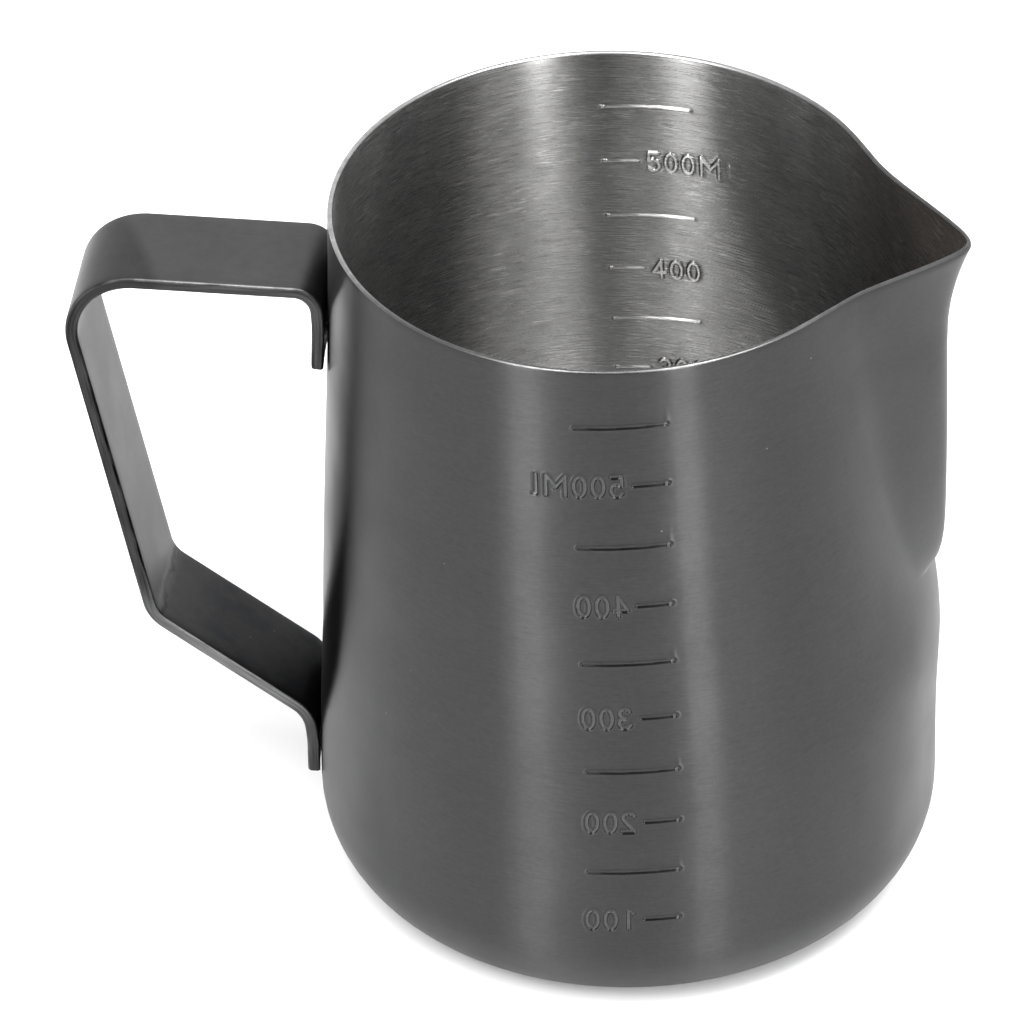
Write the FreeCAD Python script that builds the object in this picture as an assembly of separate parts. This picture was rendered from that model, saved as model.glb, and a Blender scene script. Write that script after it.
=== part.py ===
"""Milk frothing pitcher, 600 ml class, drawn from thin stainless sheet.

One deep-drawn cup with a pressed pouring spout, and one bent strap handle that is welded
to it.  Millimetres, +Z up.  The origin is the centre of the flat base on the surface that
the pitcher stands on.  The spout points along +X and the handle along -X, so the XZ plane
is the plane of symmetry.
"""
import FreeCAD, Part
import math
import os

from FreeCAD import Vector

# ---------------------------------------------------------------- driving dimensions
HEIGHT = 110.0              # base to rim
RIM_RADIUS = 38.8           # outside of the round part of the mouth
BELLY_RADIUS = 44.2         # outside of the widest part
CORNER_HEIGHT = 12.8        # top of the round corner between base and wall
CORNER_WIDTH = 12.4         # how far that corner reaches in from the belly
WALL = 0.8                  # sheet thickness of the cup
NECK_TAPER = 0.66           # slope of the wall at the rim, against an even cone
NECK_SHIFT = -2.2           # the mouth's centre lies this far towards the handle
NECK_SHIFT_START = 40.0     # height where the neck starts to lean that way

SPOUT_FOOT = 52.8           # height of the point where the spout starts
SPOUT_SPREAD = 24.6         # half angle of the spout at the rim, in degrees
SPOUT_OPENING = 0.32        # how it opens upwards: 1 is a sharp V, smaller is a blunter U
SPOUT_REACH = 11.3          # how far the spout's ridge stands out of the wall, without the lip
SPOUT_LIP_REACH = 5.0       # how much further the lip curls out at the very top
SPOUT_LIP_START = 0.70      # where the lip starts to curl, as a share of the spout's height
SPOUT_NOSE = 3.0            # half angle taken up by the round nose, in degrees
CREASE_AT_FOOT = 0.6        # softness of the crease beside the spout, low down
CREASE_AT_RIM = 2.1         # and at the rim, where it nearly disappears
LIP_DROP = 2.3              # the rim slopes down by this much towards the tip of the lip
LIP_DROP_ANGLE = 36.0       # and starts to slope this many degrees from the ridge
SWELL = 1.6                 # the belly below the spout is pulled out this far
SWELL_HEIGHT = 46.0         # height of the middle of that swelling
SWELL_RISE = 15.0           # its half height
SWELL_ANGLE = 24.0          # its half angle, in degrees

STRAP_WIDTH = 16.4
STRAP_THICKNESS = 1.8
# Outer face of the strap in the XZ plane, from the end of its upper leg round to the end
# of its lower leg, and the bend radius of the outer face at each corner.
STRAP_CORNERS = [
    (-42.0, 84.7, 0.0),
    (-41.5, 98.6, 4.0),
    (-80.5, 98.5, 10.0),
    (-68.1, 39.0, 6.5),
    (-46.1, 23.2, 3.5),
    (-46.1, 13.3, 0.0),
]

WELD_DIAMETER = 2.6
WELD_OFFSET = 6.2           # each weld's distance from the middle of the strap
UPPER_WELD_HEIGHT = 90.0
LOWER_WELD_HEIGHT = 18.0

# Rows and columns of points on the free-form wall that steer its smooth surface.
CORNER_ROWS = 9
WALL_ROWS = 32
SPOUT_COLUMNS = 24
ROUND_COLUMNS = 48
SPOUT_COLUMNS_END = 40.0    # angle in degrees where the close sampling stops


# ---------------------------------------------------------------- shape of the cup wall
def smoothstep(t):
    """0 below t = 0, 1 above t = 1, and smooth between them."""
    t = min(max(t, 0.0), 1.0)
    return t * t * (3.0 - 2.0 * t)


def round_radius(z):
    """Outside radius of the round cup at height z, from the corner up to the rim."""
    t = (HEIGHT - z) / (HEIGHT - CORNER_HEIGHT)
    share = NECK_TAPER * t + (3.0 - 2.0 * NECK_TAPER) * t ** 2 + (NECK_TAPER - 2.0) * t ** 3
    return RIM_RADIUS + (BELLY_RADIUS - RIM_RADIUS) * share


def neck_centre(z):
    """X of the centre of the round section at height z."""
    t = max(0.0, (z - NECK_SHIFT_START) / (HEIGHT - NECK_SHIFT_START))
    return NECK_SHIFT * t * (1.3 - 0.3 * t)


def ridge_angle(angle):
    """Angle from the spout's ridge, 0 to pi, on either side of it."""
    return abs((angle + math.pi) % (2.0 * math.pi) - math.pi)


def swelling(angle, z):
    """Extra radius where forming the spout has pulled the belly outwards."""
    across = math.exp(-((ridge_angle(angle) / math.radians(SWELL_ANGLE)) ** 2))
    along = math.exp(-(((z - SWELL_HEIGHT) / SWELL_RISE) ** 2))
    return SWELL * across * along


def outside_radius(angle, z):
    """Outside radius about the neck's centre; angle is in radians from the spout's ridge."""
    angle = ridge_angle(angle)
    plain = round_radius(z) + swelling(angle, z)
    rise = (z - SPOUT_FOOT) / (HEIGHT - SPOUT_FOOT)
    if rise <= 0.0:
        return plain
    spread = math.radians(SPOUT_SPREAD) * rise ** SPOUT_OPENING
    curl = max(0.0, (rise - SPOUT_LIP_START) / (1.0 - SPOUT_LIP_START))
    reach = SPOUT_REACH * math.sqrt(rise) + SPOUT_LIP_REACH * curl ** 2
    tip = plain + reach
    # The flank is a straight line in plan, from the ridge to where it meets the round wall.
    nose = math.radians(SPOUT_NOSE) * min(1.0, 0.35 + rise)
    turned = math.sqrt(angle ** 2 + nose ** 2)
    meet_x = plain * math.cos(spread)
    meet_y = plain * math.sin(spread)
    run = tip - meet_x
    flank = tip * meet_y / (meet_y * math.cos(turned) + run * math.sin(turned))
    fade = smoothstep((angle - 1.15 * spread) / (0.5 * spread))
    flank = flank * (1.0 - fade) + (plain - 3.0) * fade
    gap = flank - plain
    crease = CREASE_AT_FOOT + (CREASE_AT_RIM - CREASE_AT_FOOT) * rise ** 2
    crease *= min(1.0, 5.0 * rise)
    return plain + 0.5 * (gap + math.sqrt(gap ** 2 + crease ** 2))


def rim_height(angle):
    """Height of the rim, which slopes down a little towards the tip of the lip."""
    away = math.hypot(ridge_angle(angle), math.radians(SPOUT_NOSE) / 2.0)
    share = 1.0 - away / math.radians(LIP_DROP_ANGLE)
    return HEIGHT - LIP_DROP * 0.5 * (share + math.hypot(share, 0.1))


def wall_point(angle, z):
    """Point on the outside of the wall at a height above the corner."""
    radius = outside_radius(angle, z)
    return Vector(neck_centre(z) + radius * math.cos(angle), radius * math.sin(angle), z)


def corner_point(angle, tilt):
    """Point on the outside of the round corner; tilt runs from 0 at the base to 90 degrees."""
    z = CORNER_HEIGHT * (1.0 - math.cos(tilt))
    radius = BELLY_RADIUS - CORNER_WIDTH * (1.0 - math.sin(tilt))
    radius += swelling(angle, CORNER_HEIGHT) * math.sin(tilt) ** 2
    return Vector(radius * math.cos(angle), radius * math.sin(angle), z)


def outside_point(angle, level):
    """Point on the outside: level 0 to 1 is the corner and 1 to 2 the wall up to the rim."""
    if level < 1.0:
        return corner_point(angle, level * math.pi / 2.0)
    top = rim_height(angle)
    return wall_point(angle, CORNER_HEIGHT + (level - 1.0) * (top - CORNER_HEIGHT))


def inside_point(angle, level):
    """Point one sheet thickness inside the outside point, square to the surface."""
    step = 1.0e-3
    low, high = max(level - step, 0.0), min(level + step, 2.0)
    along = outside_point(angle, high) - outside_point(angle, low)
    around = outside_point(angle + step, level) - outside_point(angle - step, level)
    inward = along.cross(around)
    inward.normalize()
    here = outside_point(angle, level) + inward * WALL
    if level >= 2.0:
        here.z = rim_height(angle)
    if level <= 0.0:
        here.z = WALL
    return here


def sample_angles():
    """Angles all round the cup: close together on the spout and even elsewhere."""
    half = [SPOUT_COLUMNS_END * (i / SPOUT_COLUMNS) ** 1.3 for i in range(1, SPOUT_COLUMNS)]
    rest = 360.0 - 2.0 * SPOUT_COLUMNS_END
    round_part = [SPOUT_COLUMNS_END + rest * i / ROUND_COLUMNS for i in range(ROUND_COLUMNS + 1)]
    degrees = [0.0] + half + round_part + [360.0 - a for a in reversed(half)]
    return [math.radians(a) for a in degrees]


def sample_levels():
    """Levels from the base to the rim."""
    corner = [i / CORNER_ROWS for i in range(CORNER_ROWS)]
    wall = [1.0 + i / WALL_ROWS for i in range(WALL_ROWS + 1)]
    return corner + wall


# ---------------------------------------------------------------- cup
def skin(point):
    """Smooth closed face round the cup's outside or inside, a cubic B-spline both ways."""
    poles = [[point(angle, level) for level in sample_levels()] for angle in sample_angles()]
    around = len(poles) + 1
    up = len(poles[0])
    surface = Part.BSplineSurface()
    surface.buildFromPolesMultsKnots(
        poles, [1] * around, [4] + [1] * (up - 4) + [4],
        list(range(around)), list(range(up - 2)), True, False, 3, 3)
    return surface.toShape()


def edge_at(face, want_top):
    """The face's rim edge or its base edge."""
    closed = [edge for edge in face.Edges if edge.isClosed()]
    if want_top:
        return max(closed, key=lambda edge: edge.BoundBox.ZMax)
    return min(closed, key=lambda edge: edge.BoundBox.ZMax)


def closing_face(face, at_rim):
    """Face across the cup, bounded by a skin's rim or base edge."""
    wire = Part.Wire([edge_at(face, at_rim)])
    if at_rim:
        return Part.makeFilledFace(wire.Edges)
    return Part.Face(wire)


def solid_of(faces):
    shell = Part.Shell(faces)
    shell.sewShape()
    solid = Part.Solid(shell)
    if solid.Volume < 0.0:
        solid.reverse()
    return solid


def make_pitcher_body():
    """The cup: outside and inside skins, joined over the thickness of the rim."""
    outside = skin(outside_point)
    inside = skin(inside_point)
    rim = Part.makeRuledSurface(edge_at(outside, True), edge_at(inside, True))
    return solid_of([outside, inside, rim, closing_face(outside, False), closing_face(inside, False)])


def make_filled_cup():
    """The space inside the cup's outside skin, used to end the welds on the wall."""
    outside = skin(outside_point)
    return solid_of([outside, closing_face(outside, False), closing_face(outside, True)])


# ---------------------------------------------------------------- handle
def offset_corners(corners, distance):
    """The same run of corners moved sideways by distance, with bends about the same centres."""
    points = [Vector(x, 0, z) for x, z, _ in corners]
    directions = []
    for a, b in zip(points, points[1:]):
        direction = b - a
        direction.normalize()
        directions.append(direction)
    sides = [Vector(-d.z, 0, d.x) for d in directions]
    moved = [(points[0] + sides[0] * distance, 0.0)]
    for i in range(1, len(points) - 1):
        mitre = sides[i - 1] + sides[i]
        mitre = mitre * (distance / (1.0 + sides[i - 1].dot(sides[i])))
        turn = directions[i - 1].z * directions[i].x - directions[i - 1].x * directions[i].z
        radius = corners[i][2] + math.copysign(distance, turn)
        moved.append((points[i] + mitre, radius))
    moved.append((points[-1] + sides[-1] * distance, 0.0))
    return [(p.x, p.z, radius) for p, radius in moved]


def rounded_run(corners):
    """Straight edges joined by tangent arcs of each corner's radius."""
    points = [Vector(x, 0, z) for x, z, _ in corners]
    edges = []
    start = points[0]
    for i in range(1, len(points) - 1):
        before = points[i - 1] - points[i]
        after = points[i + 1] - points[i]
        before.normalize()
        after.normalize()
        half_angle = 0.5 * before.getAngle(after)
        reach = corners[i][2] / math.tan(half_angle)
        bisector = before + after
        bisector.normalize()
        centre = points[i] + bisector * (corners[i][2] / math.sin(half_angle))
        middle = centre - bisector * corners[i][2]
        first = points[i] + before * reach
        last = points[i] + after * reach
        edges.append(Part.LineSegment(start, first).toShape())
        edges.append(Part.Arc(first, middle, last).toShape())
        start = last
    edges.append(Part.LineSegment(start, points[-1]).toShape())
    return edges


def make_handle_strap():
    """Flat strip bent five times and cut square at the ends of its legs."""
    outer = STRAP_CORNERS
    inner = offset_corners(STRAP_CORNERS, STRAP_THICKNESS)
    outer_run = rounded_run(outer)
    inner_run = rounded_run(inner)
    ends = []
    for k in (0, -1):
        a = Vector(outer[k][0], 0, outer[k][1])
        b = Vector(inner[k][0], 0, inner[k][1])
        ends.append(Part.LineSegment(a, b).toShape())
    outline = Part.Wire(Part.__sortEdges__(outer_run + inner_run + ends))
    face = Part.Face(outline)
    face.translate(Vector(0, -STRAP_WIDTH / 2.0, 0))
    return face.extrude(Vector(0, STRAP_WIDTH, 0))


# ---------------------------------------------------------------- welds
def make_welds(height, strap_face_x, filled_cup):
    """Two weld nuggets, one near each edge of the strap, filling its gap to the wall."""
    nuggets = []
    for side in (-1, 1):
        start = Vector(strap_face_x, side * WELD_OFFSET, height)
        rod = Part.makeCylinder(WELD_DIAMETER / 2.0, 4.0, start, Vector(1, 0, 0))
        nuggets.append(rod.cut(filled_cup).Solids[0])
    return Part.makeCompound(nuggets)


# ---------------------------------------------------------------- files
def leg_face_x(height, first, last):
    """X of a leg's straight face at a height."""
    share = (height - first[1]) / (last[1] - first[1])
    return first[0] + share * (last[0] - first[0])


def main():
    filled_cup = make_filled_cup()
    upper_x = leg_face_x(UPPER_WELD_HEIGHT, STRAP_CORNERS[0], STRAP_CORNERS[1])
    lower_x = STRAP_CORNERS[-1][0] + STRAP_THICKNESS
    shapes = {
        "pitcher_body": make_pitcher_body(),
        "handle_strap": make_handle_strap(),
        "upper_welds": make_welds(UPPER_WELD_HEIGHT, upper_x, filled_cup),
        "lower_welds": make_welds(LOWER_WELD_HEIGHT, lower_x, filled_cup),
    }
    os.makedirs("parts", exist_ok=True)
    for name, shape in shapes.items():
        box = shape.BoundBox
        print(name, "valid", shape.isValid(), "solids", len(shape.Solids),
              "volume", round(shape.Volume, 1),
              "x", round(box.XMin, 2), round(box.XMax, 2),
              "y", round(box.YMin, 2), round(box.YMax, 2),
              "z", round(box.ZMin, 2), round(box.ZMax, 2))
        shape.exportStep("parts/" + name + ".step")


main()
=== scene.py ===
"""Looks of the milk frothing pitcher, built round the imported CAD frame.

The stamped cup, the bent strap and the weld nuggets are each meshed here at full detail and
stand for the plain CAD solids.  Lengths are in millimetres until a mesh is made.
"""
import math

import bmesh
import bpy
import numpy as np
from mathutils import Matrix, Vector


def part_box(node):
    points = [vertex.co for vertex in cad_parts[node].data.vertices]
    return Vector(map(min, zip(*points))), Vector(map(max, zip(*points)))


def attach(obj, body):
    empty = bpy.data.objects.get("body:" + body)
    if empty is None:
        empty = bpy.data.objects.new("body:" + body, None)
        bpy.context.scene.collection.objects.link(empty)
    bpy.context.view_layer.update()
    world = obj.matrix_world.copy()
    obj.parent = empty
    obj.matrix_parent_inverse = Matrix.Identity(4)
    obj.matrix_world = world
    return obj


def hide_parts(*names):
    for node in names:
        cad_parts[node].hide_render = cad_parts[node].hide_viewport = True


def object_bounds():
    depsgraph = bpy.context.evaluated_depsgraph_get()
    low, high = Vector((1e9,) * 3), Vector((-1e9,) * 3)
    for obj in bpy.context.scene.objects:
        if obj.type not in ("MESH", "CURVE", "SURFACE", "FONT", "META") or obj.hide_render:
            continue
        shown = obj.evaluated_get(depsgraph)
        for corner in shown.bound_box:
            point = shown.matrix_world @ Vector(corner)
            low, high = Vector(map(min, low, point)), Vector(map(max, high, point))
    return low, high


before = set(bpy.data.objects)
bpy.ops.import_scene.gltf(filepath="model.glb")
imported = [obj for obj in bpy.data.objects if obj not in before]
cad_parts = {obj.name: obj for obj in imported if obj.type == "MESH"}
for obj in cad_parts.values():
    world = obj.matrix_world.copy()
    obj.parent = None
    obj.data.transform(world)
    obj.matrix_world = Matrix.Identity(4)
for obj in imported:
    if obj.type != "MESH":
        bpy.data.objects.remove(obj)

MM = 0.001
CAD_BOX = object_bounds()
BODY_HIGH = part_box("pitcher_body")[1] / MM
STRAP_LOW, STRAP_HIGH = [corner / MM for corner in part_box("handle_strap")]

# ---------------------------------------------------------------- the cup's driving dimensions
HEIGHT = BODY_HIGH.z
RIM_RADIUS = 38.8
BELLY_RADIUS = 44.2
CORNER_HEIGHT = 12.8
CORNER_WIDTH = 12.4
WALL = 0.8
NECK_TAPER = 0.66
NECK_SHIFT = -2.2
NECK_SHIFT_START = 40.0
SPOUT_FOOT = 52.8
SPOUT_SPREAD = math.radians(24.6)
SPOUT_OPENING = 0.32
SPOUT_REACH = 11.3
SPOUT_LIP_REACH = 5.0
SPOUT_LIP_START = 0.70
SPOUT_NOSE = math.radians(3.0)
CREASE_AT_FOOT = 0.6
CREASE_AT_RIM = 2.1
LIP_DROP = 2.3
LIP_DROP_ANGLE = math.radians(36.0)
SWELL = 1.6
SWELL_HEIGHT = 46.0
SWELL_RISE = 15.0
SWELL_ANGLE = math.radians(24.0)

# ---------------------------------------------------------------- the stamped scale
MARKS = range(100, 600, 50)          # millilitres
FILL_SHARE = 0.991                   # a mark stands where the cup holds this share of it
LONG_TICK = 12.75
SHORT_TICK = 4.85
TOP_MARK_SLIP = -0.5                 # the top mark is stamped a little low
NUMERAL_START = 7.12                 # centre of the first numeral, from the tick's start
NUMERAL_PITCH = 2.58
NUMERAL_HALF = 1.56                  # half height of a numeral's centre line
UNIT_GAPS = {"M": 0.75, "L": 0.80}   # extra space before each letter of the unit
STROKE = 0.56                        # width of a numeral's stamped stroke
TICK_STROKE = 0.43
TICK_DOT = 0.62                      # the punch bites a round dot at the tick's start
STAMP_SLOPE = 0.18                   # width of the slope at a stroke's side
STAMP_DEPTH = 0.19
OUTLINE = 0.13                       # width of the painted shade along a stroke's outline
STAMP_LIP = 0.045                    # metal piled up beside a stroke
NEAR_FADE = 18.75                    # the punch barely bites beyond this length
FAR_FADE = 17.45
FADE_LENGTH = 0.5
FADED_BITE = 0.06
NUMERAL_DENT = 0.13                  # the sheet is also pushed in broadly round a numeral
TICK_DENT = 0.04
NUMERAL_DENT_MIDDLE = 6.5            # middle of that dent, from the tick's start
DENT_LENGTH = 7.0                    # half length and half height of a dent
DENT_HEIGHT = 3.4
PILE_WIDTH = 0.12
NEAR_START = 12.43                   # arc length from the -Y side to where the ticks start
FAR_START = 5.8                      # the same from the +Y side
MARK_TILT = 0.027                    # the marks rise a little towards the spout
SCALE_LENGTH = 20.8
FINE_STEP = 0.115                    # mesh size where the scales are stamped
FLAT_RINGS = (0.02, 0.25, 0.5, 0.75, 0.93)  # rings of points across the flat of the base
RIM_RINGS = 7                        # rings of points round the rim

# ---------------------------------------------------------------- the strap
STRAP_WIDTH = STRAP_HIGH.y - STRAP_LOW.y
STRAP_THICKNESS = 1.8
STRAP_CORNERS = [
    (-42.0, 84.7, 0.0),
    (-41.5, 98.6, 4.0),
    (-80.5, 98.5, 10.0),
    (-68.1, 39.0, 6.5),
    (-46.1, 23.2, 3.5),
    (-46.1, 13.3, 0.0),
]
STRAP_EDGE_RADIUS = 0.40
MIDDLE_HEIGHT = 60.0                 # the upper leg is above this, the lower leg below
LEG_START = -50.0                    # both legs lie on the +X side of this
UPPER_HUG_RADIUS = 80.0              # the legs are curved across to follow the cup's wall
LOWER_HUG_RADIUS = 50.0
UPPER_WELD_HEIGHT = 90.0
LOWER_WELD_HEIGHT = 18.0
WELD_OFFSET = 6.2
WELD_RADIUS = 1.3
WELD_SINK = 0.25                     # a weld bites this far into the strap and the cup
UPPER_LEG_FACE = -41.8               # where the upper leg's face meets its welds

# ---------------------------------------------------------------- the room
ROOM_LIGHT = 0.86
DIM_LIGHT = 0.04                     # the room is darker on the viewer's side
DIM_AZIMUTH = 4.0
BACK_LIGHT = 0.42                    # and brighter behind the pitcher
# The two ramps added up: from and to (1 is the viewer's side, -1 behind), light there.
ROOM_RAMPS = [(0.55, 0.95, ROOM_LIGHT, DIM_LIGHT), (-0.85, -0.30, BACK_LIGHT, 0.0)]
FLOOR_SIZE = 4000.0                  # half the floor's side
FLOOR_COLOR = (0.93, 0.93, 0.93)
CAMERA_LENS = 395.5
CAMERA_OFFSET = Vector((-1.8, 1.5, 0.0))    # of the point looked at, from the CAD box's middle
CAMERA_AZIMUTH = math.radians(7.72)
CAMERA_ELEVATION = math.radians(36.6)
CAMERA_ROLL = math.radians(-0.89)
CAMERA_DISTANCE = 1600.0
LAMP_TARGET = Vector((0.0, 0.0, 60.0))
LAMP_DISTANCE = 900.0
# Softboxes: name, azimuth and elevation in degrees, width, height, power in watts.
SOFTBOXES = [
    ("left_low_softbox", -25.5, 22.0, 210.0, 800.0, 5.8),
    ("left_high_softbox", -24.5, 57.0, 105.0, 500.0, 6.0),
    ("right_low_softbox", 34.0, 22.0, 150.0, 800.0, 5.1),
    ("right_high_softbox", 44.0, 58.0, 60.0, 480.0, 2.3),
    ("side_softbox", 67.0, 64.0, 200.0, 420.0, 7.8),
]

# ---------------------------------------------------------------- finishes
OUTSIDE_COLOR = (0.0404, 0.0404, 0.0408)
STRAP_COLOR = (0.057, 0.057, 0.0575)
OUTSIDE_ROUGHNESS = 0.315
INSIDE_COLOR = (0.413, 0.410, 0.408)
INSIDE_ROUGHNESS = 0.28
RIM_COLOR = (0.42, 0.42, 0.42)
WELD_COLOR = (0.05, 0.047, 0.046)
WHITE = (1.0, 1.0, 1.0, 1.0)
SPOUT_STAIN_AND_SHADE = (0.27, 0.243, 0.228, 1.0)     # the spout inside is duller and a little brown, partly a stain and partly painted shade
BLUE_STAIN = (0.66, 0.70, 0.80, 1.0)        # heat colour on the strap's lower run
# Heights on the strap between which its finish, its painted light and its painted shade change, in
# metres.
LEG_TO_LOW_RUN = (21.0 * MM, 27.0 * MM)
LOW_RUN_STAIN = (32.0 * MM, 42.0 * MM)
LOW_RUN_TO_GRIP = (37.0 * MM, 46.0 * MM)
GRIP_FOOT = (40.0 * MM, 52.0 * MM)
GRIP_HEAD = (80.0 * MM, 92.0 * MM)
GRIP_TO_TOP_RUN = (86.0 * MM, 93.0 * MM)
TOP_RUN = (80.0 * MM, 90.0 * MM)
TOP_BEND_END = (-69.6 * MM, -67.0 * MM)     # where the painted reflection of a dark thing on the top bend ends
# Sets of scratches inside: length and width in mm, climb with x and y, brightness.
INSIDE_SCRATCHES = [
    (3.6, 0.125, 0.05, 0.03, 1.0),
    (2.2, 0.115, -0.06, 0.09, 0.9),
    (3.0, 0.135, 0.16, -0.05, 0.9),
]


# ================================================================ shape of the cup's wall
def smoothstep(t):
    t = np.clip(t, 0.0, 1.0)
    return t * t * (3.0 - 2.0 * t)


def ridge_angle(angle):
    """Angle from the spout's ridge, 0 to pi, on either side of it."""
    return np.abs((angle + np.pi) % (2.0 * np.pi) - np.pi)


def round_radius(z):
    """Outside radius of the round cup, from the corner up to the rim."""
    t = (HEIGHT - z) / (HEIGHT - CORNER_HEIGHT)
    share = NECK_TAPER * t + (3.0 - 2.0 * NECK_TAPER) * t ** 2 + (NECK_TAPER - 2.0) * t ** 3
    return RIM_RADIUS + (BELLY_RADIUS - RIM_RADIUS) * share


def neck_centre(z):
    t = np.maximum(0.0, (z - NECK_SHIFT_START) / (HEIGHT - NECK_SHIFT_START))
    return NECK_SHIFT * t * (1.3 - 0.3 * t)


def swelling(angle, z):
    """Extra radius where forming the spout has pulled the belly outwards."""
    across = np.exp(-((ridge_angle(angle) / SWELL_ANGLE) ** 2))
    return SWELL * across * np.exp(-(((z - SWELL_HEIGHT) / SWELL_RISE) ** 2))


def outside_radius(angle, z):
    """Outside radius about the neck's centre, with the spout's straight flanks."""
    angle = ridge_angle(angle)
    plain = round_radius(z) + swelling(angle, z)
    rise = np.clip((z - SPOUT_FOOT) / (HEIGHT - SPOUT_FOOT), 1.0e-6, None)
    spread = SPOUT_SPREAD * rise ** SPOUT_OPENING
    curl = np.maximum(0.0, (rise - SPOUT_LIP_START) / (1.0 - SPOUT_LIP_START))
    tip = plain + SPOUT_REACH * np.sqrt(rise) + SPOUT_LIP_REACH * curl ** 2
    turned = np.sqrt(angle ** 2 + (SPOUT_NOSE * np.minimum(1.0, 0.35 + rise)) ** 2)
    meet_x = plain * np.cos(spread)
    meet_y = plain * np.sin(spread)
    flank = tip * meet_y / (meet_y * np.cos(turned) + (tip - meet_x) * np.sin(turned))
    fade = smoothstep((angle - 1.15 * spread) / (0.5 * spread))
    flank = flank * (1.0 - fade) + (plain - 3.0) * fade
    gap = flank - plain
    crease = CREASE_AT_FOOT + (CREASE_AT_RIM - CREASE_AT_FOOT) * rise ** 2
    crease = crease * np.minimum(1.0, 5.0 * rise)
    spouted = plain + 0.5 * (gap + np.sqrt(gap ** 2 + crease ** 2))
    return np.where(z > SPOUT_FOOT, spouted, plain)


def rim_height(angle):
    away = np.hypot(ridge_angle(angle), SPOUT_NOSE / 2.0)
    share = 1.0 - away / LIP_DROP_ANGLE
    return HEIGHT - LIP_DROP * 0.5 * (share + np.hypot(share, 0.1))


def outside_point(angle, level):
    """Points on the outside: level 0 to 1 is the corner and 1 to 2 the wall up to the rim."""
    tilt = np.clip(level, 0.0, 1.0) * np.pi / 2.0
    corner_z = CORNER_HEIGHT * (1.0 - np.cos(tilt))
    corner_r = BELLY_RADIUS - CORNER_WIDTH * (1.0 - np.sin(tilt))
    corner_r = corner_r + swelling(angle, CORNER_HEIGHT) * np.sin(tilt) ** 2
    wall_z = CORNER_HEIGHT + (level - 1.0) * (rim_height(angle) - CORNER_HEIGHT)
    on_wall = level >= 1.0
    z = np.where(on_wall, wall_z, corner_z)
    radius = np.where(on_wall, outside_radius(angle, np.maximum(z, CORNER_HEIGHT)), corner_r)
    centre = neck_centre(z)
    return np.stack([centre + radius * np.cos(angle), radius * np.sin(angle), z], axis=-1)


def inward_normal(angle, level):
    step = 1.0e-4
    low = np.clip(level - step, 0.0, 2.0)
    high = np.clip(level + step, 0.0, 2.0)
    along = outside_point(angle, high) - outside_point(angle, low)
    around = outside_point(angle + step, level) - outside_point(angle - step, level)
    inward = np.cross(along, around)
    return inward / np.linalg.norm(inward, axis=-1, keepdims=True)


# ================================================================ the stamped scale
def mark_heights():
    """Height of each mark, from the volume that the cup holds below it."""
    around = np.linspace(0.0, 2.0 * np.pi, 360, endpoint=False)
    heights = np.arange(WALL, HEIGHT, 0.25)
    tilt = np.arccos(np.clip(1.0 - heights / CORNER_HEIGHT, 0.0, 1.0))
    corner = BELLY_RADIUS - CORNER_WIDTH * (1.0 - np.sin(tilt))
    areas = []
    for z, radius in zip(heights, corner):
        if z > CORNER_HEIGHT:
            radius = outside_radius(around, z)
        inside = radius - WALL + 0.0 * around
        areas.append(0.5 * float(np.sum(inside ** 2)) * 2.0 * np.pi / len(around))
    filled = np.cumsum(areas) * 0.25 / 1000.0
    marks = {mark: float(np.interp(FILL_SHARE * mark, filled, heights)) for mark in MARKS}
    marks[MARKS[-1]] += TOP_MARK_SLIP
    return marks


def arc(cx, cz, rx, rz, start, stop, pieces=14):
    turn = np.radians(np.linspace(start, stop, pieces + 1))
    return [(cx + rx * math.cos(t), cz + rz * math.sin(t)) for t in turn]


GLYPHS = {
    "0": [arc(0.0, 0.0, 0.79, 1.80, 0, 360, 24)],
    "1": [[(-0.60, 1.20), (0.05, 1.80), (0.05, -1.80)]],
    "2": [arc(0.0, 0.90, 0.80, 0.90, 165, -35) + [(-0.80, -1.80), (0.85, -1.80)]],
    "3": [arc(0.0, 0.92, 0.72, 0.88, 155, -90) + arc(0.0, -0.88, 0.82, 0.92, 90, -155)],
    "4": [[(0.35, -1.80), (0.35, 1.80), (-0.90, -0.75), (0.90, -0.75)]],
    "5": [[(0.75, 1.80), (-0.62, 1.80), (-0.72, 0.25)]
          + arc(-0.02, -0.68, 0.84, 1.12, 128, -145)],
    "M": [[(-1.35, -1.80), (-1.35, 1.80), (0.0, -0.30), (1.35, 1.80), (1.35, -1.80)]],
    "L": [[(-0.60, 1.80), (-0.60, -1.80), (0.80, -1.80)]],
}


def scale_strokes(heights):
    """Every stroke as (its mark's height, points, width); u runs the way the scale is read."""
    strokes = []
    for mark, height in heights.items():
        numbered = mark % 100 == 0
        length = SHORT_TICK if numbered else LONG_TICK
        strokes.append((height, [(0.0, 0.0), (length, 0.0)], TICK_STROKE))
        strokes.append((height, [(0.0, 0.0), (0.05, 0.0)], TICK_DOT))
        if not numbered:
            continue
        text = str(mark) + ("ML" if mark == 500 else "")
        u = NUMERAL_START
        for letter in text:
            u += UNIT_GAPS.get(letter, 0.0)
            for path in GLYPHS[letter]:
                points = [(u + x, z * NUMERAL_HALF / 1.8) for x, z in path]
                strokes.append((height, points, STROKE))
            u += NUMERAL_PITCH
    return strokes


def distance_to_path(u, v, path):
    """Distance from points to a run of straight pieces."""
    best = np.full(u.shape, 1.0e9)
    for (ax, az), (bx, bz) in zip(path, path[1:]):
        dx, dz = bx - ax, bz - az
        share = ((u - ax) * dx + (v - az) * dz) / max(dx * dx + dz * dz, 1.0e-12)
        share = np.clip(share, 0.0, 1.0)
        best = np.minimum(best, np.hypot(u - ax - share * dx, v - az - share * dz))
    return best


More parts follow.
